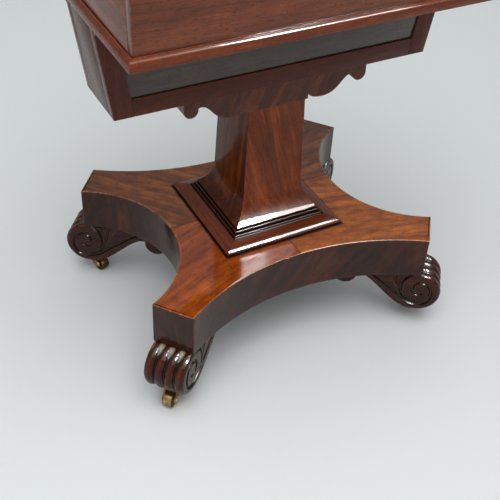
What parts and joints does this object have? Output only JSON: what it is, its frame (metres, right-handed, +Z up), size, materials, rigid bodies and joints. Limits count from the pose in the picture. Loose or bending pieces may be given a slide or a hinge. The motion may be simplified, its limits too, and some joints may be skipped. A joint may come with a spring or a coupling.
{
  "type": "work table",
  "caption": "Work table with a hinged, fitted case over a narrow panelled well, on a square flared column and a hollow-sided platform with reeded scroll feet and brass castors.",
  "frame": {"origin": "on the floor under the middle of the table", "axes": "+Z up, +X to the right along the front, +Y to the back"},
  "size_m": [0.554, 0.4292, 0.7346],
  "materials": {
    "mahogany": "red-brown figured mahogany, french polished",
    "dark_mahogany": "dark mahogany, french polished, dust in the carving",
    "stained_panel": "dark grey-stained panel, polished",
    "cedar": "plain cedar, waxed",
    "brass": "dull cast brass, worn"
  },
  "bodies": {
    "table": {"platform": "mahogany", "foot_front_left": "dark_mahogany", "foot_front_right": "dark_mahogany", "foot_back_left": "dark_mahogany", "foot_back_right": "dark_mahogany", "castor_stem_front_left": "brass", "castor_stem_front_right": "brass", "castor_stem_back_left": "brass", "castor_stem_back_right": "brass", "collar": "dark_mahogany", "column_beads": "dark_mahogany", "column": "mahogany", "bearer": "dark_mahogany", "well_bottom": "cedar", "well_end_left": "mahogany", "well_end_right": "mahogany", "well_front_stile_left": "mahogany", "well_front_stile_right": "mahogany", "well_front_bottom_rail": "mahogany", "well_front_top_rail": "mahogany", "well_front_panel": "stained_panel", "well_back_stile_left": "mahogany", "well_back_stile_right": "mahogany", "well_back_bottom_rail": "mahogany", "well_back_top_rail": "mahogany", "well_back_panel": "stained_panel", "cove_front": "dark_mahogany", "cove_back": "dark_mahogany", "case_bottom": "cedar", "case_front": "mahogany", "case_back": "mahogany", "case_end_left": "mahogany", "case_end_right": "mahogany", "case_moulding": "dark_mahogany", "tray_front": "cedar", "tray_back": "cedar", "hinge_case_leaf_left": "brass", "hinge_case_leaf_right": "brass", "hinge_pin_left": "brass", "hinge_pin_right": "brass", "lock": "brass", "escutcheon": "brass"},
    "lid": {"lid": "mahogany", "hinge_lid_leaf_left": "brass", "hinge_lid_leaf_right": "brass", "lock_link_plate": "brass"},
    "castor_front_left": {"castor_fork_front_left": "brass", "castor_axle_front_left": "brass"},
    "castor_front_right": {"castor_fork_front_right": "brass", "castor_axle_front_right": "brass"},
    "castor_back_left": {"castor_fork_back_left": "brass", "castor_axle_back_left": "brass"},
    "castor_back_right": {"castor_fork_back_right": "brass", "castor_axle_back_right": "brass"},
    "wheel_front_left": {"castor_wheel_front_left": "brass"},
    "wheel_front_right": {"castor_wheel_front_right": "brass"},
    "wheel_back_left": {"castor_wheel_back_left": "brass"},
    "wheel_back_right": {"castor_wheel_back_right": "brass"}
  },
  "joints": [
    {"name": "lid_hinge", "type": "hinge", "parent": "table", "child": "lid", "pos_m": [0, 0.1881, 0.7123], "axis": [-1, 0, 0], "range_deg": [0, 95]},
    {"name": "swivel_front_left", "type": "hinge", "parent": "table", "child": "castor_front_left", "pos_m": [-0.21811, -0.16902, 0.0279], "axis": [0, 0, 1], "continuous": true},
    {"name": "swivel_front_right", "type": "hinge", "parent": "table", "child": "castor_front_right", "pos_m": [0.21811, -0.16902, 0.0279], "axis": [0, 0, 1], "continuous": true},
    {"name": "swivel_back_left", "type": "hinge", "parent": "table", "child": "castor_back_left", "pos_m": [-0.21811, 0.16902, 0.0279], "axis": [0, 0, 1], "continuous": true},
    {"name": "swivel_back_right", "type": "hinge", "parent": "table", "child": "castor_back_right", "pos_m": [0.21811, 0.16902, 0.0279], "axis": [0, 0, 1], "continuous": true},
    {"name": "roll_front_left", "type": "hinge", "parent": "castor_front_left", "child": "wheel_front_left", "pos_m": [-0.23075, -0.18039, 0.012], "axis": [0.6691, -0.7431, 0], "continuous": true},
    {"name": "roll_front_right", "type": "hinge", "parent": "castor_front_right", "child": "wheel_front_right", "pos_m": [0.22393, -0.15304, 0.012], "axis": [-0.9397, 0.342, 0], "continuous": true},
    {"name": "roll_back_left", "type": "hinge", "parent": "castor_back_left", "child": "wheel_back_left", "pos_m": [-0.2123, 0.15304, 0.012], "axis": [0.9397, 0.342, 0], "continuous": true},
    {"name": "roll_back_right", "type": "hinge", "parent": "castor_back_right", "child": "wheel_back_right", "pos_m": [0.21516, 0.18576, 0.012], "axis": [-0.9848, -0.1736, 0], "continuous": true}
  ]
}
